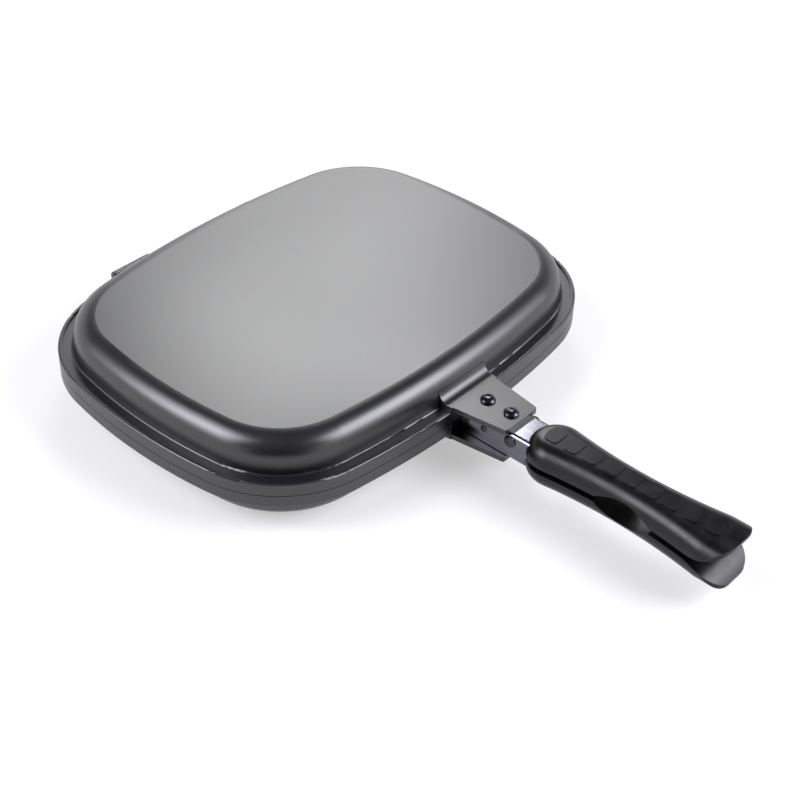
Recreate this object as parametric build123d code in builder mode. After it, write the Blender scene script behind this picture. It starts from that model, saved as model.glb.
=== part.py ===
from build123d import *
from math import asin, atan2, cos, radians, sin, sqrt
import os

# Double sided flip pan, shut. Millimetres, +Z up, +Y towards the hinge, the handle along -Y.
# The origin is the centre of the flat face that the shut pan rests on.

# ---- the two pans ----
pan_half_width = 160.0        # rim, across X
pan_half_depth = 125.8        # rim, across Y
end_arc_radius = 365.0        # bow of the two short sides of the rim
front_arc_radius = 620.0      # bow of the two long sides of the rim
corner_radius = 72.9          # rim corners
pan_height = 29.4             # one half, parting plane to resting face
pan_wall = 3.0
wall_draft = 7.7              # degrees
shoulder_radius = 14.5        # outside, wall to flat face
rim_gap = 0.4                 # between the two rims, filled by the seal
rim_height = 8.8              # parting plane to the top of the rim bead
bead_width = 2.4
bead_round = 1.2
ledge_height = 7.6            # parting plane to the ledge between bead and wall
foot_inset = 8.1              # rim edge to the foot of the wall
foot_fillet = 1.2             # wall to ledge

# ---- grill ribs, upper pan ----
rib_pitch = 17.0
rib_count = 11
rib_width = 4.0
rib_height = 2.0
rib_end_margin = 37.8         # rim edge to the ends of the middle rib
rib_shortening = 26.0         # the outermost ribs are this much shorter

# ---- seal ----
seal_inset = 5.6              # rim edge to the groove
groove_width = 3.6
groove_depth = 2.8
seal_clearance = 0.1

# ---- handle lugs, their reach counted outwards from the rim's front edge ----
lug_top = 12.15               # parting plane to the lug's outer face
lug_thickness = 3.5
lug_root_half_width = 22.5
lug_root_inset = 21.8         # the root is this far behind the rim's front edge
lug_neck_half_width = 20.0
lug_neck_inset = 2.5
lug_tip_half_width = 14.6
lug_reach = 36.0
lug_tip_round = 1.6
lug_fillet = 6.5              # lug to the pan's wall

# ---- lug rivets ----
rivet_near_reach = 10.2       # rim's front edge to the nearer rivet
rivet_pitch = 17.8
rivet_shank_radius = 2.5
rivet_head_radius = 4.6
rivet_head_height = 2.8
rivet_dimple_radius = 1.5
rivet_dimple_depth = 0.7
rivet_tail_radius = 3.7
rivet_tail_height = 1.2
head_rim_share = 0.4          # straight rim of a domed head, of its height

# ---- neck brackets ----
sheet = 1.5
bracket_half_width = 12.0     # upper channel, outside
bracket_nesting_gap = 0.6     # lower channel inside the upper one
bracket_start_gap = 0.7       # rim edge to the end of the channel
channel_in_grip = 16.2        # the channel ends this far inside the grip
flange_reach = 0.65           # upper flanges stop this far above the lower lug
lower_flange_rise = 4.15
bend_radius = 2.6             # outside of the bends
tang_half_width = 7.0
tang_past_screw = 6.6         # far screw to the end of the tang
tang_round = 5.0

# ---- grips ----
grip_rim = 2.0                # parting plane to the grip's edge
grip_crown = 14.4             # parting plane to the grip's back
grip_nose_radius = 18.5
grip_start_reach = 45.0       # rim's front edge to the nose
grip_length = 142.7
grip_tail_radius = 19.5
grip_widest_inset = 15.0      # tail to where the grip is widest
grip_tail_corner = 14.0       # plan radius of the tail's corners
grip_waist_half_width = 14.6
grip_round = 10.6
grip_wall = 3.0
scallop_share = 0.523         # nose to the middle of the finger scallop, of the grip's length
scallop_length = 38.0
scallop_depth = 6.0
flare_length = 26.5           # the tails curve apart over this length
tail_edge = 1.8               # thickness left at the tail
nose_clearance = 0.6          # neck through the nose

# ---- anti-slip pads along the grip's back ----
grip_pad_count = 9
grip_pad_from_nose = 16.0
grip_pad_from_tail = 17.0
grip_pad_length = 9.4         # along the grip
grip_pad_width = 13.0
grip_pad_corner = 2.6
grip_pad_height = 0.5

# ---- grip fixings ----
grip_screw_from_nose = 26.2
grip_screw_pitch = 17.0
screw_radius = 2.0
screw_hole_clearance = 0.2
screw_head_radius = 3.6
screw_head_height = 2.2
screw_slot_width = 0.9
insert_radius = 2.9
insert_length = 3.4
insert_bore_clearance = 0.05
boss_radius = 5.0

# ---- magnets and their carriers ----
magnet_plane = -1.5           # height of the joint between the magnets, from the parting plane
magnet_gap = 0.3
carrier_reach = 15.2          # rim's front edge to the carriers
carrier_length = 29.5
carrier_top = 5.7             # upper carrier's top, from the parting plane
magnet_from_front = 6.0       # carrier's front to the magnet
magnet_length = 21.0
magnet_width = 13.0
magnet_thickness = 2.5
pocket_clearance = 0.4        # round the rivet tails
cross_rivet_from_front = 22.4
cross_rivet_height = 3.6
cross_rivet_radius = 1.6
cross_rivet_head_radius = 4.0
cross_rivet_head_height = 1.6
carrier_pin_from_front = 2.6
carrier_pin_height = 1.6
carrier_pin_radius = 1.4
carrier_pin_head_radius = 2.1
carrier_pin_head_height = 0.6
carrier_screw_from_front = 25.2
carrier_screw_radius = 1.5
carrier_screw_length = 3.2
carrier_screw_head_radius = 2.7
carrier_screw_head_height = 1.5

# ---- hinge ----
hinge_offset = 6.6            # rim edge to the pin
hinge_spread = 46.0           # each hinge from the middle
knuckle_radius = 5.2
knuckle_length = 14.0
ear_length = 7.5
hinge_side_gap = 0.3
pin_radius = 2.0
pin_running_clearance = 0.05
pin_head_radius = 3.6
pin_head_length = 1.6
cap_length = 2.4
cap_radius = 3.4
cap_depth = 1.8               # how far the pin's end enters its cap

# ---- places along Y that follow from the sizes above ----
rim_front_y = -pan_half_depth
lug_root_y = rim_front_y + lug_root_inset
lug_neck_y = rim_front_y + lug_neck_inset
lug_tip_y = rim_front_y - lug_reach
rivet_near_y = rim_front_y - rivet_near_reach
grip_nose_y = rim_front_y - grip_start_reach
grip_tail_y = grip_nose_y - grip_length
scallop_y = grip_nose_y - scallop_share * grip_length
flare_start_y = grip_tail_y + flare_length
grip_pad_first_y = grip_nose_y - grip_pad_from_nose
grip_pad_pitch = (grip_length - grip_pad_from_nose - grip_pad_from_tail) / (grip_pad_count - 1)
grip_screw_near_y = grip_nose_y - grip_screw_from_nose
channel_start_y = rim_front_y - bracket_start_gap
channel_end_y = grip_nose_y - channel_in_grip
tang_end_y = grip_screw_near_y - grip_screw_pitch - tang_past_screw
carrier_front_y = rim_front_y - carrier_reach
magnet_front_y = carrier_front_y - magnet_from_front
cross_rivet_y = carrier_front_y - cross_rivet_from_front
carrier_pin_y = carrier_front_y - carrier_pin_from_front
carrier_screw_y = carrier_front_y - carrier_screw_from_front
hinge_y = pan_half_depth + hinge_offset

parting = Plane.XY.offset(pan_height)
lug_under = lug_top - lug_thickness
web_bottom = lug_under - sheet
rivet_places = [(0, rivet_near_y), (0, rivet_near_y - rivet_pitch)]
screw_places = [(0, grip_screw_near_y), (0, grip_screw_near_y - grip_screw_pitch)]


def above(height):
    """A level plane, its height counted from the parting plane."""
    return Plane.XY.offset(pan_height + height)


def rim_outline(inset):
    """The rim's closed outline of eight tangent arcs, moved in by inset."""
    end_radius = end_arc_radius - inset
    front_radius = front_arc_radius - inset
    corner = corner_radius - inset
    end_centre = pan_half_width - end_arc_radius
    front_centre = pan_half_depth - front_arc_radius
    # the corner's centre lies where both side arcs, shrunk by the corner radius, cross
    reach_end = end_arc_radius - corner_radius
    reach_front = front_arc_radius - corner_radius
    span = sqrt(end_centre**2 + front_centre**2)
    along = (reach_end**2 - reach_front**2 + span**2) / (2 * span)
    across = sqrt(reach_end**2 - along**2)
    ux, uy = -end_centre / span, front_centre / span
    centre_x = end_centre + along * ux - across * uy
    centre_y = along * uy + across * ux
    end_angle = atan2(centre_y, centre_x - end_centre)
    front_angle = atan2(centre_y - front_centre, centre_x)
    middle_angle = (end_angle + front_angle) / 2
    end_point = (end_centre + end_radius * cos(end_angle), end_radius * sin(end_angle))
    front_point = (front_radius * cos(front_angle), front_centre + front_radius * sin(front_angle))
    corner_point = (centre_x + corner * cos(middle_angle), centre_y + corner * sin(middle_angle))
    end_middle = on_circle(end_centre, 0, end_radius, end_angle / 2)
    front_middle = on_circle(0, front_centre, front_radius, (front_angle + radians(90)) / 2)
    with BuildSketch() as outline:
        with BuildLine():
            ThreePointArc((pan_half_width - inset, 0), end_middle, end_point)
            ThreePointArc(end_point, corner_point, front_point)
            ThreePointArc(front_point, front_middle, (0, pan_half_depth - inset))
            mirror(about=Plane.YZ)
            mirror(about=Plane.XZ)
        make_face()
    return outline.sketch


def on_circle(x, y, radius, angle):
    return (x + radius * cos(angle), y + radius * sin(angle))


def lug_outline():
    """Plan of a handle lug."""
    with BuildSketch() as outline:
        with BuildLine():
            Polyline(
                (-lug_root_half_width, lug_root_y),
                (-lug_neck_half_width, lug_neck_y),
                (-lug_tip_half_width, lug_tip_y),
                (lug_tip_half_width, lug_tip_y),
                (lug_neck_half_width, lug_neck_y),
                (lug_root_half_width, lug_root_y),
                close=True,
            )
        make_face()
        fillet(vertices().group_by(Axis.Y)[0], lug_tip_round)
    return outline.sketch


def grip_outline(inset, end_y):
    """Plan of a grip: a round nose, a waist of one long arc a side, and a tail that is cut off at end_y."""
    nose_radius = grip_nose_radius - inset
    tail_radius = grip_tail_radius - inset
    waist_half = grip_waist_half_width - inset
    nose_centre = grip_nose_y - grip_nose_radius
    tail_centre = grip_tail_y + grip_widest_inset
    span = nose_centre - tail_centre
    # the waist arc touches both end circles, and its inmost point is waist_half from the middle
    low, high = 10.0, 5000.0
    for _ in range(60):
        waist_radius = (low + high) / 2
        centre_x = waist_half + waist_radius
        reach = sum(sqrt((waist_radius + end) ** 2 - centre_x**2) for end in (nose_radius, tail_radius))
        low, high = (waist_radius, high) if reach < span else (low, waist_radius)
    centre_y = tail_centre + sqrt((waist_radius + tail_radius) ** 2 - centre_x**2)
    toward_nose = atan2(nose_centre - centre_y, -centre_x)
    toward_tail = atan2(tail_centre - centre_y, -centre_x) + radians(360)
    nose_point = on_circle(centre_x, centre_y, waist_radius, toward_nose)
    tail_point = on_circle(centre_x, centre_y, waist_radius, toward_tail)
    waist_point = (waist_half, centre_y)
    nose_middle = on_circle(0, nose_centre, nose_radius, radians(45))
    tail_widest = (tail_radius, tail_centre)
    tail_middle_angle = atan2(tail_point[1] - tail_centre, tail_point[0]) / 2
    tail_middle = on_circle(0, tail_centre, tail_radius, tail_middle_angle)
    long_end = tail_centre - grip_length
    with BuildSketch() as outline:
        with BuildLine():
            ThreePointArc((0, nose_centre + nose_radius), nose_middle, nose_point)
            ThreePointArc(nose_point, waist_point, tail_point)
            ThreePointArc(tail_point, tail_middle, tail_widest)
            Polyline(tail_widest, (tail_radius, long_end), (0, long_end))
            mirror(about=Plane.YZ)
        make_face()
        with Locations((0, end_y - grip_length)):
            Rectangle(4 * grip_tail_radius, 2 * grip_length, mode=Mode.SUBTRACT)
    return outline.sketch


# ---- the shape that both pans share, drawn as the upper one ----
with BuildPart() as pan_blank:
    with BuildSketch(above(rim_gap / 2)):
        add(rim_outline(0))
    extrude(amount=rim_height - rim_gap / 2)
    fillet(edges().group_by(Axis.Z)[-1], bead_round)
    with BuildSketch(above(ledge_height)):
        add(rim_outline(bead_width))
    extrude(amount=rim_height, mode=Mode.SUBTRACT)
    with BuildSketch(above(rim_gap / 2)):
        add(rim_outline(foot_inset))
    extrude(amount=pan_height - rim_gap / 2, taper=wall_draft)
    fillet(edges().group_by(Axis.Z)[-1], shoulder_radius)
    ledge_z = pan_height + ledge_height
    ledge = faces().filter_by(GeomType.PLANE).filter_by_position(Axis.Z, ledge_z - 0.01, ledge_z + 0.01)[0]
    fillet(ledge.inner_wires()[0].edges(), foot_fillet)
    # handle lug, standing clear of the neck bracket under it
    with BuildSketch(above(lug_under)):
        add(lug_outline())
    extrude(amount=lug_thickness)
    with BuildSketch(above(rim_gap / 2)) as lug_root:
        with BuildLine():
            Polyline(
                (-lug_root_half_width, lug_root_y),
                (-lug_neck_half_width - 0.5, rim_front_y),
                (lug_neck_half_width + 0.5, rim_front_y),
                (lug_root_half_width, lug_root_y),
                close=True,
            )
        make_face()
    extrude(amount=lug_top - rim_gap / 2)
    # a generous cast fillet fills the corner between the lug and the wall
    wall_y = rim_front_y + foot_inset + lug_top * sin(radians(wall_draft))
    with BuildPart(mode=Mode.PRIVATE) as lug_web:
        with BuildSketch(Plane.YZ):
            with BuildLine():
                arc_foot = (wall_y - lug_fillet, pan_height + lug_top)
                arc_head = (wall_y + lug_fillet * sin(radians(wall_draft)), pan_height + lug_top + lug_fillet)
                TangentArc(arc_foot, arc_head, tangent=(1, 0))
                Polyline(arc_head, (lug_root_y, arc_head[1]), (lug_root_y, arc_foot[1] - 1))
                Polyline((lug_root_y, arc_foot[1] - 1), (arc_foot[0], arc_foot[1] - 1), arc_foot)
            make_face()
        extrude(amount=pan_half_width, both=True)
        with BuildSketch(parting):
            add(lug_outline())
        extrude(amount=pan_height, mode=Mode.INTERSECT)
    add(lug_web.part)
    with BuildSketch(above(lug_under)):
        with Locations(*rivet_places):
            Circle(rivet_shank_radius)
    extrude(amount=lug_thickness, mode=Mode.SUBTRACT)
    # cooking cavity, mouth down
    with BuildPart(mode=Mode.PRIVATE) as cavity:
        with BuildSketch(above(rim_gap / 2)):
            add(rim_outline(foot_inset + pan_wall))
        extrude(amount=pan_height - pan_wall - rim_gap / 2, taper=wall_draft)
        fillet(edges().group_by(Axis.Z)[-1], shoulder_radius - pan_wall)
    add(cavity.part, mode=Mode.SUBTRACT)

# ---- hinge knuckles and ears, both drawn on the upper side ----
def hinge_arms(starts, length):
    """Barrels round the pin with a web to the rim, one from each start along X."""
    with BuildPart() as arms:
        for start in starts:
            with BuildSketch(Plane.YZ.offset(start)):
                with BuildLine():
                    Polyline(
                        (pan_half_depth - foot_inset, pan_height + rim_gap / 2),
                        (hinge_y, pan_height + rim_gap / 2),
                        (hinge_y, pan_height + knuckle_radius),
                        (pan_half_depth - foot_inset, pan_height + knuckle_radius),
                        close=True,
                    )
                make_face()
                with Locations((hinge_y, pan_height)):
                    Circle(knuckle_radius)
            extrude(amount=length)
    return arms.part


knuckle_starts = [side * hinge_spread - knuckle_length / 2 for side in (-1, 1)]
ear_reach = knuckle_length / 2 + hinge_side_gap
ear_starts = []
for side in (-1, 1):
    ear_starts.append(side * hinge_spread - ear_reach - ear_length)
    ear_starts.append(side * hinge_spread + ear_reach)

with BuildPart() as upper_pan:
    add(pan_blank.part)
    add(hinge_arms(knuckle_starts, knuckle_length))
    with Locations((0, hinge_y, pan_height)):
        Cylinder(
            pin_radius + pin_running_clearance,
            2 * pan_half_width,
            rotation=(0, 90, 0),
            mode=Mode.SUBTRACT,
        )
    # seal groove
    with BuildSketch(above(rim_gap / 2)):
        add(rim_outline(seal_inset))
        add(rim_outline(seal_inset + groove_width), mode=Mode.SUBTRACT)
    extrude(amount=groove_depth, mode=Mode.SUBTRACT)
    # grill ribs on the inner face
    for number in range(rib_count):
        place = (number - (rib_count - 1) / 2) * rib_pitch
        end_share = abs(number - (rib_count - 1) / 2) / ((rib_count - 1) / 2)
        half_length = pan_half_depth - rib_end_margin - rib_shortening * end_share**4
        with BuildSketch(Plane.XY.offset(2 * pan_height - pan_wall)):
            with Locations((place, 0)):
                SlotOverall(2 * half_length, rib_width, rotation=90)
        extrude(amount=-rib_height, taper=15)
upper_pan.part.label = "upper_pan"

with BuildPart() as lower_pan:
    add(mirror(pan_blank.part, about=parting))
    add(mirror(hinge_arms(ear_starts, ear_length), about=parting))
    with Locations((0, hinge_y, pan_height)):
        Cylinder(pin_radius, 2 * pan_half_width, rotation=(0, 90, 0), mode=Mode.SUBTRACT)
lower_pan.part.label = "lower_pan"

with BuildPart() as seal_ring:
    with BuildSketch(above(-rim_gap / 2)):
        add(rim_outline(seal_inset + seal_clearance))
        add(rim_outline(seal_inset + groove_width - seal_clearance), mode=Mode.SUBTRACT)
    extrude(amount=groove_depth + rim_gap)
seal_ring.part.label = "seal_ring"


# ---- lug rivets ----

def domed_head(radius, height):
    """A rivet head standing on Z = 0: a short rim under a round cap."""
    rise = height * head_rim_share
    cap = height - rise
    cap_sphere = (radius**2 + cap**2) / (2 * cap)
    half_angle = asin(radius / cap_sphere) / 2
    cap_middle = (cap_sphere * sin(half_angle), height - cap_sphere + cap_sphere * cos(half_angle))
    with BuildPart() as head:
        with BuildSketch(Plane.XZ):
            with BuildLine():
                Polyline((0, height), (0, 0), (radius, 0), (radius, rise))
                ThreePointArc((radius, rise), cap_middle, (0, height))
            make_face()
        revolve(axis=Axis.Z)
    return head.part


lug_rivet_head = domed_head(rivet_head_radius, rivet_head_height)
with BuildPart() as upper_lug_rivets:
    with Locations(*[(x, y, pan_height + lug_top) for x, y in rivet_places]):
        add(lug_rivet_head)
    with BuildSketch(above(lug_top + rivet_head_height)):
        with Locations(*rivet_places):
            Circle(rivet_dimple_radius)
    extrude(amount=-rivet_dimple_depth, mode=Mode.SUBTRACT)
    with BuildSketch(above(lug_top)):
        with Locations(*rivet_places):
            Circle(rivet_shank_radius)
    extrude(amount=-lug_thickness - sheet)
    with BuildSketch(above(lug_under - sheet)):
        with Locations(*rivet_places):
            Circle(rivet_tail_radius)
    extrude(amount=-rivet_tail_height)
    chamfer(faces().group_by(Axis.Z)[0].edges(), rivet_tail_height / 3)
upper_lug_rivets.part.label = "upper_lug_rivets"

with BuildPart() as lower_lug_rivets:
    add(mirror(upper_lug_rivets.part, about=parting))
lower_lug_rivets.part.label = "lower_lug_rivets"


# ---- neck brackets ----

def bracket(half_width, flange_bottom):
    """A channel of bent sheet, web up against the lug, and a flat tang on its end."""
    with BuildPart() as sheet_part:
        with BuildSketch(Plane.XZ.offset(-channel_start_y)):
            middle = pan_height + (lug_under + flange_bottom) / 2
            with Locations((0, middle)):
                Rectangle(2 * half_width, lug_under - flange_bottom)
            fillet(vertices().group_by(Axis.Y)[-1], bend_radius)
        extrude(amount=channel_start_y - channel_end_y)
        with BuildSketch(Plane.XZ.offset(-channel_start_y)):
            with Locations((0, pan_height + (web_bottom + flange_bottom) / 2)):
                Rectangle(2 * (half_width - sheet), web_bottom - flange_bottom)
            fillet(vertices().group_by(Axis.Y)[-1], bend_radius - sheet)
        extrude(amount=channel_start_y - channel_end_y, mode=Mode.SUBTRACT)
        with BuildSketch(above(web_bottom)) as tang:
            with BuildLine():
                Polyline(
                    (-tang_half_width, channel_end_y + tang_half_width),
                    (-tang_half_width, tang_end_y),
                    (tang_half_width, tang_end_y),
                    (tang_half_width, channel_end_y + tang_half_width),
                    close=True,
                )
            make_face()
            fillet(vertices().group_by(Axis.Y)[0], tang_round)
        extrude(amount=sheet)
        with BuildSketch(above(web_bottom)):
            with Locations(*rivet_places):
                Circle(rivet_shank_radius)
            with Locations(*screw_places):
                Circle(screw_radius + screw_hole_clearance)
        extrude(amount=sheet, mode=Mode.SUBTRACT)
    return sheet_part.part


lower_half_width = bracket_half_width - sheet - bracket_nesting_gap
upper_flange_bottom = -lug_under + flange_reach
lower_flange_bottom = lug_under - sheet - lower_flange_rise

with BuildPart() as upper_bracket:
    add(bracket(bracket_half_width, upper_flange_bottom))
    for y, height, radius in (
        (cross_rivet_y, cross_rivet_height, cross_rivet_radius),
        (carrier_pin_y, carrier_pin_height, carrier_pin_radius),
    ):
        with Locations((0, y, pan_height + height)):
            Cylinder(radius, 4 * bracket_half_width, rotation=(0, 90, 0), mode=Mode.SUBTRACT)
upper_bracket.part.label = "upper_bracket"

with BuildPart() as lower_bracket:
    add(mirror(bracket(lower_half_width, lower_flange_bottom), about=parting))
    with Locations((0, carrier_screw_y, pan_height - lug_under + sheet / 2)):
        Cylinder(carrier_screw_radius, 2 * sheet, mode=Mode.SUBTRACT)
lower_bracket.part.label = "lower_bracket"

# ---- grips ----
def grip_form(inset):
    """The grip's solid form moved in by inset, its tail left long."""
    with BuildPart() as form:
        with BuildSketch(above(0)):
            add(grip_outline(inset, grip_tail_y - grip_round))
        extrude(amount=grip_crown - inset)
        fillet(edges().group_by(Axis.Z)[-1].sort_by(Axis.Y)[1:], grip_round - inset)
    return form.part


# the hollow stops short of the finger scallop, so the scallop is a smooth trough and the tail is solid
with BuildPart() as grip_hollow:
    with BuildSketch(above(0)):
        add(grip_outline(grip_wall, scallop_y + scallop_length / 2 + grip_wall))
    extrude(amount=grip_crown - grip_wall)
    fillet(edges().group_by(Axis.Z)[-1].sort_by(Axis.Y)[1:], grip_round - grip_wall)

pad_places = [(0, grip_pad_first_y - number * grip_pad_pitch) for number in range(grip_pad_count)]

with BuildPart() as upper_grip:
    add(grip_form(0))
    # pads that follow the crown of the back
    with BuildPart(mode=Mode.PRIVATE) as back_pads:
        add(grip_form(-grip_pad_height))
        with BuildSketch(above(0)):
            with Locations(*pad_places):
                RectangleRounded(grip_pad_width, grip_pad_length, grip_pad_corner)
        extrude(amount=2 * grip_crown, mode=Mode.INTERSECT)
    add(back_pads.part)
    with BuildSketch(above(grip_rim)):
        add(grip_outline(0, grip_tail_y))
        fillet(vertices().group_by(Axis.Y)[0], grip_tail_corner)
    extrude(amount=grip_crown, mode=Mode.INTERSECT)
    add(grip_hollow.part, mode=Mode.SUBTRACT)
    # finger scallop in both edges
    scallop_radius = (scallop_length**2 / 4 + scallop_depth**2) / (2 * scallop_depth)
    with BuildSketch(Plane.YZ):
        with Locations((scallop_y, pan_height + grip_rim + scallop_depth - scallop_radius)):
            Circle(scallop_radius)
    extrude(amount=2 * grip_tail_radius, both=True, mode=Mode.SUBTRACT)
    # flared tail, so that fingers can part the grips
    flare_drop = grip_crown - grip_rim - tail_edge
    flare_radius = (flare_length**2 + flare_drop**2) / (2 * flare_drop)
    with BuildSketch(Plane.YZ):
        with BuildLine():
            flare_start = (flare_start_y, pan_height + grip_rim)
            flare_middle = on_circle(
                flare_start_y,
                pan_height + grip_rim + flare_radius,
                flare_radius,
                radians(-90) - asin(flare_length / flare_radius) / 2,
            )
            flare_end = (grip_tail_y, pan_height + grip_rim + flare_drop)
            ThreePointArc(flare_start, flare_middle, flare_end)
            Polyline(
                flare_end,
                (grip_tail_y - grip_round, flare_end[1]),
                (grip_tail_y - grip_round, pan_height),
                (flare_start_y, pan_height),
                flare_start,
            )
        make_face()
    extrude(amount=2 * grip_tail_radius, both=True, mode=Mode.SUBTRACT)
    # way in for the neck
    with BuildSketch(above(0)):
        with Locations((0, grip_nose_y - grip_nose_radius / 2)):
            Rectangle(2 * (bracket_half_width + nose_clearance), grip_nose_radius)
    extrude(amount=lug_under + nose_clearance, mode=Mode.SUBTRACT)
    # bosses that the tang lies against, with bores for the inserts
    with BuildSketch(above(lug_under)):
        with Locations(*screw_places):
            Circle(boss_radius)
    extrude(amount=grip_crown - grip_wall / 2 - lug_under)
    with BuildSketch(above(lug_under)):
        with Locations(*screw_places):
            Circle(insert_radius)
    extrude(amount=insert_length, mode=Mode.SUBTRACT)
upper_grip.part.label = "upper_grip"

with BuildPart() as upper_grip_inserts:
    with BuildSketch(above(lug_under)):
        with Locations(*screw_places):
            Circle(insert_radius)
            Circle(screw_radius + insert_bore_clearance, mode=Mode.SUBTRACT)
    extrude(amount=insert_length)
upper_grip_inserts.part.label = "upper_grip_inserts"

with BuildPart() as upper_grip_screws:
    with BuildSketch(above(web_bottom - screw_head_height)):
        with Locations(*screw_places):
            Circle(screw_head_radius)
    extrude(amount=screw_head_height)
    fillet(edges().group_by(Axis.Z)[0], screw_head_height * 0.6)
    with BuildSketch(above(web_bottom)):
        with Locations(*screw_places):
            Circle(screw_radius)
    extrude(amount=sheet + insert_length)
    with BuildSketch(above(web_bottom - screw_head_height)):
        with Locations(*screw_places):
            Rectangle(2 * screw_head_radius, screw_slot_width)
            Rectangle(screw_slot_width, 2 * screw_head_radius)
            Rectangle(2 * screw_head_radius, 2 * screw_head_radius, mode=Mode.INTERSECT)
    extrude(amount=screw_head_height / 2, mode=Mode.SUBTRACT)
upper_grip_screws.part.label = "upper_grip_screws"


# ---- magnets and carriers ----
upper_face = magnet_plane + magnet_gap / 2
lower_face = magnet_plane - magnet_gap / 2
carrier_middle_y = carrier_front_y - carrier_length / 2
magnet_middle_y = magnet_front_y - magnet_length / 2

with BuildPart() as upper_magnet_carrier:
    with BuildSketch(above(upper_face)):
        with Locations((0, carrier_middle_y)):
            Rectangle(2 * (bracket_half_width - sheet), carrier_length)
    extrude(amount=carrier_top - upper_face)
    with BuildSketch(above(upper_face)):
        with Locations((0, magnet_middle_y)):
            Rectangle(magnet_width, magnet_length)
    extrude(amount=magnet_thickness, mode=Mode.SUBTRACT)
    for y, height, radius in (
        (cross_rivet_y, cross_rivet_height, cross_rivet_radius),
        (carrier_pin_y, carrier_pin_height, carrier_pin_radius),
    ):
        with Locations((0, y, pan_height + height)):
            Cylinder(radius, 4 * bracket_half_width, rotation=(0, 90, 0), mode=Mode.SUBTRACT)
upper_magnet_carrier.part.label = "upper_magnet_carrier"

with BuildPart() as lower_magnet_carrier:
    with BuildSketch(above(-web_bottom)):
        with Locations((0, carrier_middle_y)):
            Rectangle(2 * (lower_half_width - sheet), carrier_length)
    extrude(amount=web_bottom + lower_face)
    chamfer(edges().group_by(Axis.Z)[0], bend_radius - sheet)
    with BuildSketch(above(lower_face)):
        with Locations((0, magnet_middle_y)):
            Rectangle(magnet_width, magnet_length)
    extrude(amount=-magnet_thickness, mode=Mode.SUBTRACT)
    with BuildSketch(above(-web_bottom)):
        with Locations(*rivet_places):
            Circle(rivet_tail_radius + pocket_clearance)
    extrude(amount=rivet_tail_height + pocket_clearance, mode=Mode.SUBTRACT)
    with BuildSketch(above(-web_bottom)):
        with Locations((0, carrier_screw_y)):
            Circle(carrier_screw_radius)
    extrude(amount=carrier_screw_length - sheet, mode=Mode.SUBTRACT)
lower_magnet_carrier.part.label = "lower_magnet_carrier"

with BuildPart() as upper_magnet:
    with BuildSketch(above(upper_face)):
        with Locations((0, magnet_middle_y)):
            Rectangle(magnet_width, magnet_length)
    extrude(amount=magnet_thickness)
upper_magnet.part.label = "upper_magnet"

with BuildPart() as lower_magnet:
    with BuildSketch(above(lower_face)):
        with Locations((0, magnet_middle_y)):
            Rectangle(magnet_width, magnet_length)
    extrude(amount=-magnet_thickness)
lower_magnet.part.label = "lower_magnet"


def through_rivet(y, height, radius, head):
    """A rivet along X through the upper channel, with a head on each side."""
    with BuildPart() as rivet:
        with Locations((0, y, pan_height + height)):
            Cylinder(radius, 2 * bracket_half_width, rotation=(0, 90, 0))
        for side in (-1, 1):
            with Locations(Location((side * bracket_half_width, y, pan_height + height), (0, side * 90, 0))):
                add(head)
    return rivet.part


cross_rivet_head = domed_head(cross_rivet_head_radius, cross_rivet_head_height)
with BuildPart() as carrier_cross_rivet:
    add(through_rivet(cross_rivet_y, cross_rivet_height, cross_rivet_radius, cross_rivet_head))
carrier_cross_rivet.part.label = "carrier_cross_rivet"

carrier_pin_head = domed_head(carrier_pin_head_radius, carrier_pin_head_height)
with BuildPart() as carrier_pin:
    add(through_rivet(carrier_pin_y, carrier_pin_height, carrier_pin_radius, carrier_pin_head))
carrier_pin.part.label = "carrier_pin"

with BuildPart() as lower_carrier_screw:
    with BuildSketch(above(-lug_under)):
        with Locations((0, carrier_screw_y)):
            Circle(carrier_screw_radius)
    extrude(amount=carrier_screw_length)
    with BuildSketch(above(-lug_under)):
        with Locations((0, carrier_screw_y)):
            Circle(carrier_screw_head_radius)
    extrude(amount=-carrier_screw_head_height)
    fillet(edges().group_by(Axis.Z)[0], carrier_screw_head_height / 2)
lower_carrier_screw.part.label = "lower_carrier_screw"


# ---- hinge pins and caps ----
ear_outside = knuckle_length / 2 + hinge_side_gap + ear_length

pin_head = domed_head(pin_head_radius, pin_head_length)
with BuildPart() as hinge_pins:
    for side in (-1, 1):
        shank_length = 2 * ear_outside + cap_depth
        shank_middle = side * (hinge_spread - cap_depth / 2)
        with Locations((shank_middle, hinge_y, pan_height)):
            Cylinder(pin_radius, shank_length, rotation=(0, 90, 0))
        head_place = (side * (hinge_spread + ear_outside), hinge_y, pan_height)
        with Locations(Location(head_place, (0, side * 90, 0))):
            add(pin_head)
hinge_pins.part.label = "hinge_pins"

with BuildPart() as hinge_pin_caps:
    for side in (-1, 1):
        with Locations((side * (hinge_spread - ear_outside - cap_length / 2), hinge_y, pan_height)):
            Cylinder(cap_radius, cap_length, rotation=(0, 90, 0))
        with Locations((side * (hinge_spread - ear_outside - cap_depth / 2), hinge_y, pan_height)):
            Cylinder(pin_radius, cap_depth, rotation=(0, 90, 0), mode=Mode.SUBTRACT)
hinge_pin_caps.part.label = "hinge_pin_caps"


# ---- lower twins of the pieces that both halves share ----
with BuildPart() as lower_grip:
    add(mirror(upper_grip.part, about=parting))
lower_grip.part.label = "lower_grip"

with BuildPart() as lower_grip_inserts:
    add(mirror(upper_grip_inserts.part, about=parting))
lower_grip_inserts.part.label = "lower_grip_inserts"

with BuildPart() as lower_grip_screws:
    add(mirror(upper_grip_screws.part, about=parting))
lower_grip_screws.part.label = "lower_grip_screws"

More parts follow.
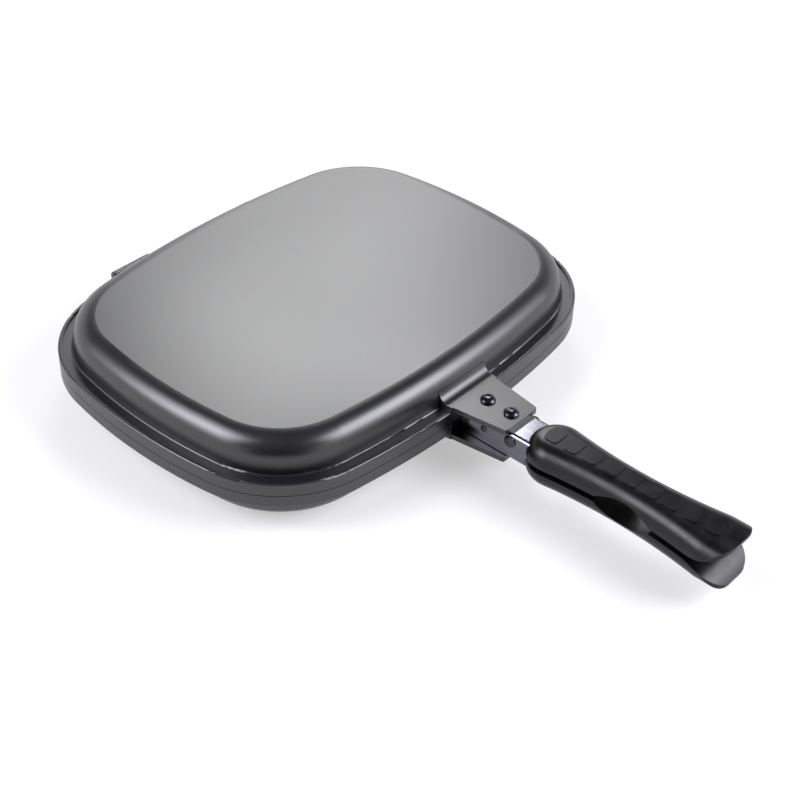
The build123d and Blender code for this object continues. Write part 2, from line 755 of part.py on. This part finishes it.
os.makedirs("parts", exist_ok=True)
for piece in (
    upper_pan,
    lower_pan,
    seal_ring,
    upper_lug_rivets,
    lower_lug_rivets,
    upper_bracket,
    lower_bracket,
    upper_grip,
    lower_grip,
    upper_grip_inserts,
    lower_grip_inserts,
    upper_grip_screws,
    lower_grip_screws,
    upper_magnet_carrier,
    lower_magnet_carrier,
    upper_magnet,
    lower_magnet,
    carrier_cross_rivet,
    carrier_pin,
    lower_carrier_screw,
    hinge_pins,
    hinge_pin_caps,
):
    export_step(piece.part, f"parts/{piece.part.label}.step")
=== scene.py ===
# %% [markdown]
# # A double sided flip pan
# Two shallow cast pans close rim to rim on a hinge. Each has a cast lug, a pressed steel neck and
# half of a black moulded handle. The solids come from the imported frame, with everything that moves
# already on its body. This notebook gives them their finishes and the photographer's studio.

import math

import bmesh
import bpy
from mathutils import Matrix, Vector


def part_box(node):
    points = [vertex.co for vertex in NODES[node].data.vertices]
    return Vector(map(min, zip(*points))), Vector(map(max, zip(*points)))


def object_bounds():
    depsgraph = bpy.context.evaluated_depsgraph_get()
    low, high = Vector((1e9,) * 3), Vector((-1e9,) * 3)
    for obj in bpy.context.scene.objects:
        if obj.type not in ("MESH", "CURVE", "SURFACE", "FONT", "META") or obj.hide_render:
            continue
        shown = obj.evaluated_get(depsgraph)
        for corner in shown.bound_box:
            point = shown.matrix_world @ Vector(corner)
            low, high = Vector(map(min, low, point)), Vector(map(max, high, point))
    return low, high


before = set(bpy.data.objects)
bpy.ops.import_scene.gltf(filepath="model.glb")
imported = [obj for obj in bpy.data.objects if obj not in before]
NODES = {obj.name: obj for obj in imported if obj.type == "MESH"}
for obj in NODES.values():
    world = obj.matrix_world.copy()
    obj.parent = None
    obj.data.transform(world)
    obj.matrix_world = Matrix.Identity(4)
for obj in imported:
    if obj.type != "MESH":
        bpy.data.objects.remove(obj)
cad_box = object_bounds()
print("nodes:", len(NODES))

# %% [markdown]
# ## Lengths and colours
# Blender works in metres and in linear light, but a maker thinks in millimetres and picks colours
# as sRGB hex. Two one-line helpers keep the rest of the notebook in the maker's units.

# %% Unit helpers
MM = 0.001


def linear(hex_colour):
    """An sRGB hex colour as the linear RGBA that shaders expect."""
    channels = [int(hex_colour[i : i + 2], 16) / 255 for i in (1, 3, 5)]
    curve = [c / 12.92 if c <= 0.04045 else ((c + 0.055) / 1.055) ** 2.4 for c in channels]
    return (*curve, 1.0)


print("mid grey #808080 in linear light:", round(linear("#808080")[0], 3))


# %% [markdown]
# ## The camera
# The pan is seen from above its near left corner, with a lens a little longer than normal, which is
# why its far side is hardly smaller than its near one. A small roll tips the horizon by two degrees.

# %% Camera
VIEW_AZIMUTH = math.radians(-49.03)
VIEW_ELEVATION = math.radians(39.05)
VIEW_ROLL = math.radians(1.83)
VIEW_DISTANCE = 962 * MM
LENS_MM = 71.57
SENSOR_WIDTH_MM = 36
NEAREST_SEEN = 10 * MM
HALF_HEIGHT = (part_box("lower_pan")[0][2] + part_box("upper_pan")[1][2]) / 2
AIM = Vector((-24.54 * MM, -88.2 * MM, HALF_HEIGHT))    # beside the handle, where the two pans meet


def make_camera():
    """A camera from its own three axes: right, up and backwards."""
    back = Vector(
        (
            math.sin(VIEW_AZIMUTH) * math.cos(VIEW_ELEVATION),
            -math.cos(VIEW_AZIMUTH) * math.cos(VIEW_ELEVATION),
            math.sin(VIEW_ELEVATION),
        )
    )
    level_right = Vector((math.cos(VIEW_AZIMUTH), math.sin(VIEW_AZIMUTH), 0))
    level_up = back.cross(level_right)
    right = level_right * math.cos(VIEW_ROLL) + level_up * math.sin(VIEW_ROLL)
    up = level_up * math.cos(VIEW_ROLL) - level_right * math.sin(VIEW_ROLL)
    camera = bpy.data.objects.new("camera", bpy.data.cameras.new("camera"))
    camera.data.lens = LENS_MM
    camera.data.sensor_width = SENSOR_WIDTH_MM
    camera.data.clip_start = NEAREST_SEEN
    camera.matrix_world = Matrix((right, up, back)).transposed().to_4x4()
    camera.matrix_world.translation = AIM + back * VIEW_DISTANCE
    bpy.context.collection.objects.link(camera)
    bpy.context.scene.camera = camera
    return camera


camera = make_camera()
print("camera at", [round(v, 3) for v in camera.matrix_world.translation])

# %% [markdown]
# ## Two helpers for node materials
# A shader is a little graph. One function adds a node, sets its values and links its inputs, and
# another starts a material with its Principled shader. Everything below is built from these two. A
# value that is the same all over the surface goes straight onto the shader's own socket.


# %% Node helpers
def add_node(tree, kind, values=None, links=None, **settings):
    """Adds a node. values sets inputs, links feeds inputs from sockets, settings are its own fields."""
    node = tree.nodes.new(kind)
    for name, value in settings.items():
        setattr(node, name, value)
    for name, value in (values or {}).items():
        node.inputs[name].default_value = value
    for name, socket in (links or {}).items():
        tree.links.new(socket, node.inputs[name])
    return node


def new_material(name, **shader_values):
    """A material with a Principled shader, whose constants are set on its own sockets."""
    material = bpy.data.materials.new(name)
    material.use_nodes = True
    shader = material.node_tree.nodes["Principled BSDF"]
    for socket, value in shader_values.items():
        shader.inputs[socket.replace("_", " ")].default_value = value
    return material, material.node_tree, shader


print("helpers:", add_node.__name__, "and", new_material.__name__)

# %% [markdown]
# A solid comes out of the frame with a plain material in its slots. Assigning to the slots changes
# the finish and leaves the mesh alone, which is what keeps the drawing's sizes true.


# %% Dressing a solid
def wear(material, *node_names):
    """Gives each named solid this finish."""
    for node_name in node_names:
        for slot in NODES[node_name].material_slots:
            slot.material = material
    print(material.name, "on", ", ".join(node_names))


print("solids without a slot:", [name for name, node in NODES.items() if not node.material_slots])

# %% [markdown]
# ## The studio
# A catalogue picture is taken on a white sweep: a sheet that lies flat under the object and curves
# up into a wall, so that no horizon shows. Above it the studio is dim, which is what leaves the dark
# gaps between the highlights of a glossy pan. The lamps stay at a plain level. What makes the sweep
# white is its own colour plus a glow that only the camera, mirrors and windows see, so the object
# still throws a soft shadow on it. First, a helper that tells such rays from light on its way.

# %% Which rays see the glow
SEEING_RAYS = ("Is Camera Ray", "Is Glossy Ray", "Is Transmission Ray")


def seen_directly(tree):
    """1 for a ray from the camera, a mirror or a window, 0 for a ray that only carries light."""
    path = add_node(tree, "ShaderNodeLightPath")
    answer = path.outputs[SEEING_RAYS[0]]
    for kind in SEEING_RAYS[1:]:
        either = {0: answer, 1: path.outputs[kind]}
        answer = add_node(tree, "ShaderNodeMath", operation="MAXIMUM", links=either).outputs[0]
    return answer


print("the glow is seen by", len(SEEING_RAYS), "kinds of ray")

# %% [markdown]
# The world stands for the dim room above the sweep. It lights the pan hardly at all. It is what a
# polished face mirrors where there is neither lamp nor sweep, so one cool grey is all that it needs.

# %% World
ROOM_COLOUR = "#E9ECF2"
ROOM_STRENGTH = 0.14


def make_world():
    world = bpy.data.worlds.new("studio room")
    bpy.context.scene.world = world
    world.use_nodes = True
    background = world.node_tree.nodes["Background"]
    background.inputs["Color"].default_value = linear(ROOM_COLOUR)
    background.inputs["Strength"].default_value = ROOM_STRENGTH
    return world


print("world:", make_world().name, "at strength", ROOM_STRENGTH)

# %% [markdown]
# The sweep's section is a flat run, a quarter round and a low wall. Spinning that section round the
# middle gives a shallow dish with the pan in its centre, white in every direction. bmesh's spin
# operator does the turning.

# %% Sweep
SWEEP_FLAT = 5.0        # radius of the flat floor
SWEEP_ROUND = 0.8       # radius of the curve between floor and wall
SWEEP_WALL_TOP = 2.6
SWEEP_SIDES = 96
ROUND_STEPS = 8
SWEEP_GAP = 0.2 * MM    # below the pan's resting face, so that the two never flicker
WELD = 0.1 * MM         # points closer than this become one, in the middle and where the spin ends


def sweep_section():
    """Distance and height of each point of the section, from the middle outwards."""
    points = [(0.0, 0.0), (SWEEP_FLAT, 0.0)]
    for step in range(1, ROUND_STEPS + 1):
        turn = math.radians(90) * step / ROUND_STEPS
        out = SWEEP_FLAT + SWEEP_ROUND * math.sin(turn)
        points.append((out, SWEEP_ROUND * (1 - math.cos(turn))))
    points.append((SWEEP_FLAT + SWEEP_ROUND, SWEEP_WALL_TOP))
    return points


def make_sweep():
    """The section spun round the middle, as an object of its own in the scene."""
    form = bmesh.new()
    row = [form.verts.new((x, 0, z)) for x, z in sweep_section()]
    edges = [form.edges.new(pair) for pair in zip(row, row[1:])]
    full_turn = math.radians(360)
    bmesh.ops.spin(form, geom=row + edges, axis=(0, 0, 1), steps=SWEEP_SIDES, angle=full_turn)
    bmesh.ops.remove_doubles(form, verts=form.verts, dist=WELD)
    bmesh.ops.recalc_face_normals(form, faces=form.faces)
    mesh = bpy.data.meshes.new("white sweep")
    form.to_mesh(mesh)
    form.free()
    mesh.shade_smooth()
    sweep = bpy.data.objects.new("white sweep", mesh)
    sweep.location = (AIM.x, AIM.y, cad_box[0][2] - SWEEP_GAP)
    bpy.context.collection.objects.link(sweep)
    return sweep


sweep = make_sweep()
print("sweep:", len(sweep.data.polygons), "faces")

# %% [markdown]
# The sheet is matt white board. Near the pan the lamps light it and the glow only tops that up to
# white. Further out the lamps don't reach, so there the glow alone is white. The distance comes
# from the sweep's own coordinates.

# %% White board
GLOW_NEAR = 0.46        # what the lamplight near the pan lacks of white
GLOW_FAR = 1.0
LAMPLIT_RADIUS = 0.8    # metres from the pan's middle
UNLIT_RADIUS = 2.4


def white_board():
    material, tree, shader = new_material(
        "white board", Base_Color=linear("#B8B8B8"), Roughness=0.9, Specular_IOR_Level=0.0,
        Emission_Color=(1, 1, 1, 1),
    )
    place = add_node(tree, "ShaderNodeTexCoord").outputs["Object"]
    away = add_node(tree, "ShaderNodeVectorMath", operation="LENGTH", links={0: place})
    fade = {"From Min": LAMPLIT_RADIUS, "From Max": UNLIT_RADIUS, "To Min": GLOW_NEAR, "To Max": GLOW_FAR}
    glow = add_node(
        tree, "ShaderNodeMapRange", interpolation_type="SMOOTHSTEP",
        values=fade, links={"Value": away.outputs["Value"]},
    )
    both = {0: seen_directly(tree), 1: glow.outputs[0]}
    seen = add_node(tree, "ShaderNodeMath", operation="MULTIPLY", links=both)
    tree.links.new(seen.outputs[0], shader.inputs["Emission Strength"])
    return material


sweep.data.materials.append(white_board())
print("sweep wears", sweep.data.materials[0].name)

# %% [markdown]
# Lamps are easiest to place by direction: how far round from the hinge, and how high. A small
# function turns the two angles into a unit vector from the pan.

# %% Directions
def direction_to(azimuth, elevation):
    """A unit vector. Azimuth runs from the hinge side round to the right, both in degrees."""
    across, height = math.radians(azimuth), math.radians(elevation)
    level = math.cos(height)
    return Vector((math.sin(across) * level, math.cos(across) * level, math.sin(height)))


print("over the hinge, halfway up:", [round(v, 2) for v in direction_to(0, 45)])

# %% [markdown]
# A real soft box is brightest in its middle, in front of its lamp, so each one is a wide panel with
# a small strong one just inside it. An area lamp's energy is shared over its surface, so the panel
# works it out from the brightness that a mirror would show. The camera itself doesn't see the lamps.

# %% Soft boxes
BOX_DISTANCE = 1.6
MIDDLE_DISTANCE = 1.59    # just in front of its box


def panel(name, place, distance, size, brightness, colour):
    """A flat lamp that faces the pan. Its brightness is that of its surface, where 1 is white."""
    light = bpy.data.lights.new(name, "AREA")
    light.shape = "RECTANGLE"
    light.size, light.size_y = size
    light.energy = brightness * math.pi * light.size * light.size_y
    light.color = linear(colour)[:3]
    direction = direction_to(*place)
    lamp = bpy.data.objects.new(name, light)
    lamp.location = AIM + direction * distance
    lamp.rotation_euler = direction.to_track_quat("Z", "Y").to_euler()
    lamp.visible_camera = False
    bpy.context.collection.objects.link(lamp)
    print(name, "at", [round(v, 2) for v in lamp.location])


def soft_box(name, colour, cloth, middle):
    """A wide panel and its bright middle, each given as place, size and brightness."""
    for part, distance, (place, size, brightness) in (
        (name, BOX_DISTANCE, cloth),
        (name + " middle", MIDDLE_DISTANCE, middle),
    ):
        panel(part, place, distance, size, brightness, colour)


print("boxes stand", BOX_DISTANCE, "m from the pan")

# %% [markdown]
# Where does each lamp go? A glossy pan shows what it mirrors, so each box stands where the face that
# should shine mirrors it. The flat top mirrors the back box as a pale sheen. The rounded shoulders
# draw the left and right boxes out into two long bright bands. The neck's narrow top mirrors one
# small lamp. The side lamps are a little cool, which tints the bands.

# %% Lamps
WHITE = "#FFFFFF"
COOL = "#F7F6FF"
soft_box("back box", WHITE, cloth=((43, 26), (0.74, 0.98), 2.8), middle=((43, 39), (0.44, 0.28), 7.6))
soft_box("left box", COOL, cloth=((-57, 40), (1.06, 1.16), 5.4), middle=((-57, 39), (0.50, 0.56), 6.8))
soft_box("right box", COOL, cloth=((147, 36), (1.30, 1.12), 4.0), middle=((147, 38), (0.90, 0.68), 7.6))
panel("neck light", (55, 39.7), BOX_DISTANCE, size=(0.13, 0.13), brightness=17.0, colour=COOL)

# %% [markdown]
# The white sweep runs all round, so the rounded near corner would mirror a white wall, and the gap
# between the two bands would fill up. A black flag, a card of matt cloth behind the camera, gives the
# corner something dark to mirror. Only mirrors see it. It casts no shadow and lights nothing, so the
# dark in the corner is a painted reflection of shade.

# %% Black flag
FLAG_PLACE = (-131, 11)     # azimuth and elevation, behind the camera
FLAG_DISTANCE = 1.5
FLAG_SIZE = (1.7, 0.8)


def make_flag():
    """A card that faces the pan, as an object of its own in the scene."""
    form = bmesh.new()
    width, height = FLAG_SIZE
    turned = direction_to(*FLAG_PLACE).to_track_quat("Z", "Y").to_matrix().to_4x4()
    stretched = turned @ Matrix.Diagonal((width / 2, height / 2, 1, 1))
    bmesh.ops.create_grid(form, x_segments=1, y_segments=1, size=1, matrix=stretched)
    mesh = bpy.data.meshes.new("black flag")
    form.to_mesh(mesh)
    form.free()
    flag = bpy.data.objects.new("black flag", mesh)
    flag.location = AIM + direction_to(*FLAG_PLACE) * FLAG_DISTANCE
    cloth = {"Base_Color": linear("#101010"), "Roughness": 1.0, "Specular_IOR_Level": 0.0}
    mesh.materials.append(new_material("black cloth", **cloth)[0])
    # Only mirrors see the card: it paints a dark reflection into the near corner
    flag.visible_camera = False
    flag.visible_shadow = False
    flag.visible_diffuse = False
    bpy.context.collection.objects.link(flag)
    return flag


print("flag at", [round(v, 2) for v in make_flag().location])

# %% [markdown]
# The Standard view shows a colour as it was picked, with no film curve over it.

# %% View
bpy.context.scene.view_settings.view_transform = "Standard"
print("view:", bpy.context.scene.view_settings.view_transform)

# %% [markdown]
# ## Texture in real millimetres
# Every finish below varies with noise, and noise has to have a size. One helper makes a noise from
# the size of one grain in millimetres, on the object's own coordinates, so that the pattern stays
# put when a pan swings. A second one maps the noise to the range that a socket needs.

# %% Noise with a real size
NOISE_LOW, NOISE_HIGH = 0.3, 0.7    # nearly all of a noise's values lie between these


def grain(tree, size_mm, detail=2.0, stretch=(1, 1, 1)):
    """Noise whose grains are size_mm across, drawn out along an axis where stretch is under 1."""
    place = add_node(tree, "ShaderNodeTexCoord").outputs["Object"]
    drawn = add_node(
        tree, "ShaderNodeVectorMath", operation="MULTIPLY", values={1: stretch}, links={0: place}
    )
    per_metre = 1 / (size_mm * MM)
    noise = add_node(
        tree, "ShaderNodeTexNoise", values={"Scale": per_metre, "Detail": detail},
        links={"Vector": drawn.outputs[0]},
    )
    return noise.outputs["Fac"]


def spread(tree, noise, low, high):
    """Maps a noise to values from low to high."""
    mapped = add_node(
        tree, "ShaderNodeMapRange", interpolation_type="SMOOTHSTEP",
        values={"From Min": NOISE_LOW, "From Max": NOISE_HIGH, "To Min": low, "To Max": high},
        links={"Value": noise},
    )
    return mapped.outputs[0]


print("a noise runs from about", NOISE_LOW, "to", NOISE_HIGH)

# %% [markdown]
# Three things change over a real surface: its tone, its gloss and its height. Each gets a helper
# that feeds one socket of the shader from a noise. The gloss is mapped smoothly, because a hard step
# in roughness would draw a line across a broad reflection.

# %% Tone, gloss and height
COLOUR_A, COLOUR_B, COLOUR_OUT = 6, 7, 2    # a Mix node's colour sockets, which share their names


def vary_tone(tree, shader, noise, dark, light):
    between = spread(tree, noise, 0, 1)
    tones = add_node(
        tree, "ShaderNodeMix", data_type="RGBA",
        values={COLOUR_A: linear(dark), COLOUR_B: linear(light)}, links={0: between},
    )
    tree.links.new(tones.outputs[COLOUR_OUT], shader.inputs["Base Color"])


def vary_gloss(tree, shader, noise, smooth, rough):
    tree.links.new(spread(tree, noise, smooth, rough), shader.inputs["Roughness"])


def vary_height(tree, shader, noise, height_mm, strength):
    bump = add_node(
        tree, "ShaderNodeBump", values={"Strength": strength, "Distance": height_mm * MM},
        links={"Height": noise},
    )
    tree.links.new(bump.outputs[0], shader.inputs["Normal"])


print("helpers:", vary_tone.__name__, vary_gloss.__name__, vary_height.__name__)

# %% [markdown]
# ## Grey non-stick coating
# The pans are cast aluminium, sprayed with a charcoal coating that carries mica and then baked. The
# eye reads a dark body under a wide soft sheen. The sprayed skin has a faint orange peel, which
# breaks up the edges of reflections, and its gloss drifts a little where the spray went on thicker.
# The resin is a filled one, so its IOR lies above plain PTFE.

# %% Coating
PEEL_MM = 1.4      # one dimple of the orange peel
FLAKE_MM = 0.5     # mica flakes are far finer, drawn this coarse so that they show
CLOUD_MM = 120.0   # how far the spray drifts in thickness


def coated_aluminium():
    material, tree, shader = new_material("grey non-stick coating", IOR=1.7)
    vary_tone(tree, shader, grain(tree, FLAKE_MM, detail=1.0), dark="#0C0C10", light="#18181E")
    vary_gloss(tree, shader, grain(tree, CLOUD_MM, detail=0.0), smooth=0.31, rough=0.36)
    vary_height(tree, shader, grain(tree, PEEL_MM), height_mm=0.05, strength=0.12)
    return material


wear(coated_aluminium(), "upper_pan", "lower_pan")

# %% [markdown]
# ## Black phenolic
# The half handles are compression moulded phenolic. It is black all through, and the polished steel
# mould leaves a satin gloss with a slow flow pattern. Handling takes the gloss down a little, so
# its mirror share is set under that of a fresh moulding.

# %% Phenolic
FLOW_MM = 8.0      # patches left by the flow in the mould
STIPPLE_MM = 0.6   # the mould's fine texture, drawn coarser than the real one


def black_phenolic():
    material, tree, shader = new_material("black phenolic", IOR=1.5, Specular_IOR_Level=0.33)
    vary_tone(tree, shader, grain(tree, FLOW_MM, detail=4.0), dark="#060607", light="#0E0E10")
    vary_gloss(tree, shader, grain(tree, FLOW_MM, detail=1.0), smooth=0.28, rough=0.34)
    vary_height(tree, shader, grain(tree, STIPPLE_MM), height_mm=0.02, strength=0.10)
    return material


wear(black_phenolic(), "upper_grip", "lower_grip")

# %% [markdown]
# ## Polished steel
# The necks are pressed from steel strip and polished before they are riveted on. Polishing leaves
# fine lines along the strip, so the noise is drawn out along the handle. Bare steel is all mirror:
# metallic 1, and its colour is its reflection. A dark one gives the blued tint of the real necks.

# %% Necks
POLISH_MM = 0.35                # width of a polishing line, drawn coarser than real
ALONG_HANDLE = (1, 0.04, 1)     # 25 times as long as wide


def polished_steel():
    material, tree, shader = new_material("polished neck steel", Metallic=1.0)
    lines = grain(tree, POLISH_MM, detail=2.0, stretch=ALONG_HANDLE)
    vary_tone(tree, shader, lines, dark="#66666C", light="#78787E")
    vary_gloss(tree, shader, lines, smooth=0.12, rough=0.18)
    vary_height(tree, shader, lines, height_mm=0.01, strength=0.08)
    return material


wear(polished_steel(), "upper_bracket", "lower_bracket")

# %% [markdown]
# ## Plated fasteners
# Rivets, screws and the hinge pins are steel with a dark nickel plate. They are turned or headed,
# not drawn, so their grain is even in every direction.

# %% Fasteners
HEADING_MM = 0.5    # the dull patches that a rivet set leaves


def plated_steel():
    material, tree, shader = new_material("dark plated steel", Metallic=1.0)
    vary_tone(tree, shader, grain(tree, HEADING_MM), dark="#3C3C42", light="#505056")
    vary_gloss(tree, shader, grain(tree, HEADING_MM), smooth=0.16, rough=0.26)
    vary_height(tree, shader, grain(tree, HEADING_MM), height_mm=0.01, strength=0.08)
    return material


wear(
    plated_steel(),
    "upper_lug_rivets", "lower_lug_rivets", "carrier_cross_rivet", "carrier_pin", "upper_grip_screws",
    "lower_grip_screws", "lower_carrier_screw", "hinge_pins", "hinge_pin_caps",
)

# %% [markdown]
# ## Brass inserts
# The screws run into knurled brass bushes, moulded into the handle halves. Bare brass is a warm
# metal, dulled by the heat of the mould.

# %% Brass
TARNISH_MM = 1.5    # patches where the hot mould dulled the brass


def turned_brass():
    material, tree, shader = new_material("turned brass", Metallic=1.0)
    vary_tone(tree, shader, grain(tree, TARNISH_MM, detail=3.0), dark="#9C7B3A", light="#C8A45A")
    vary_gloss(tree, shader, grain(tree, TARNISH_MM, detail=3.0), smooth=0.28, rough=0.4)
    vary_height(tree, shader, grain(tree, HEADING_MM), height_mm=0.01, strength=0.08)
    return material


wear(turned_brass(), "upper_grip_inserts", "lower_grip_inserts")

# %% [markdown]
# ## Silicone seal
# The seal lies in a groove of the upper rim. Moulded silicone has a low IOR and a dull, slightly
# dusty skin, and it lets a little light in under its surface, which is left out at this thickness.

# %% Silicone
DUST_MM = 0.8    # specks of the release powder


def moulded_silicone():
    material, tree, shader = new_material("grey silicone", IOR=1.41)
    vary_tone(tree, shader, grain(tree, DUST_MM, detail=4.0), dark="#2B2B2E", light="#38383B")
    vary_gloss(tree, shader, grain(tree, DUST_MM, detail=4.0), smooth=0.5, rough=0.65)
    vary_height(tree, shader, grain(tree, DUST_MM), height_mm=0.02, strength=0.15)
    return material


wear(moulded_silicone(), "seal_ring")

# %% [markdown]
# ## Nylon carriers
# A magnet in each neck holds the pans shut. The carrier that holds it is injection moulded nylon
# filled with glass, which leaves a faintly streaked matt skin: noise drawn out along the flow.

# %% Nylon
GLASS_MM = 0.7              # bundles of glass fibre at the skin, drawn coarser than real
ALONG_FLOW = (1, 0.25, 1)   # four times as long as wide


def filled_nylon():
    material, tree, shader = new_material("glass filled nylon", IOR=1.53)
    fibres = grain(tree, GLASS_MM, detail=3.0, stretch=ALONG_FLOW)
    vary_tone(tree, shader, fibres, dark="#141416", light="#202023")
    vary_gloss(tree, shader, fibres, smooth=0.42, rough=0.56)
    vary_height(tree, shader, fibres, height_mm=0.02, strength=0.12)
    return material


wear(filled_nylon(), "upper_magnet_carrier", "lower_magnet_carrier")

# %% [markdown]
# ## Ferrite magnets
# The magnets are sintered ferrite, a dark ceramic with a high IOR, ground flat on its face. Grinding
# opens fine pores, which break up the little gloss that it has.

# %% Ferrite
SINTER_MM = 0.4    # pores, drawn far coarser than real


def sintered_ferrite():
    material, tree, shader = new_material("sintered ferrite", IOR=2.3)
    vary_tone(tree, shader, grain(tree, SINTER_MM), dark="#2A2A2C", light="#3C3C3E")
    vary_gloss(tree, shader, grain(tree, SINTER_MM), smooth=0.45, rough=0.6)
    vary_height(tree, shader, grain(tree, SINTER_MM), height_mm=0.02, strength=0.15)
    return material


wear(sintered_ferrite(), "upper_magnet", "lower_magnet")
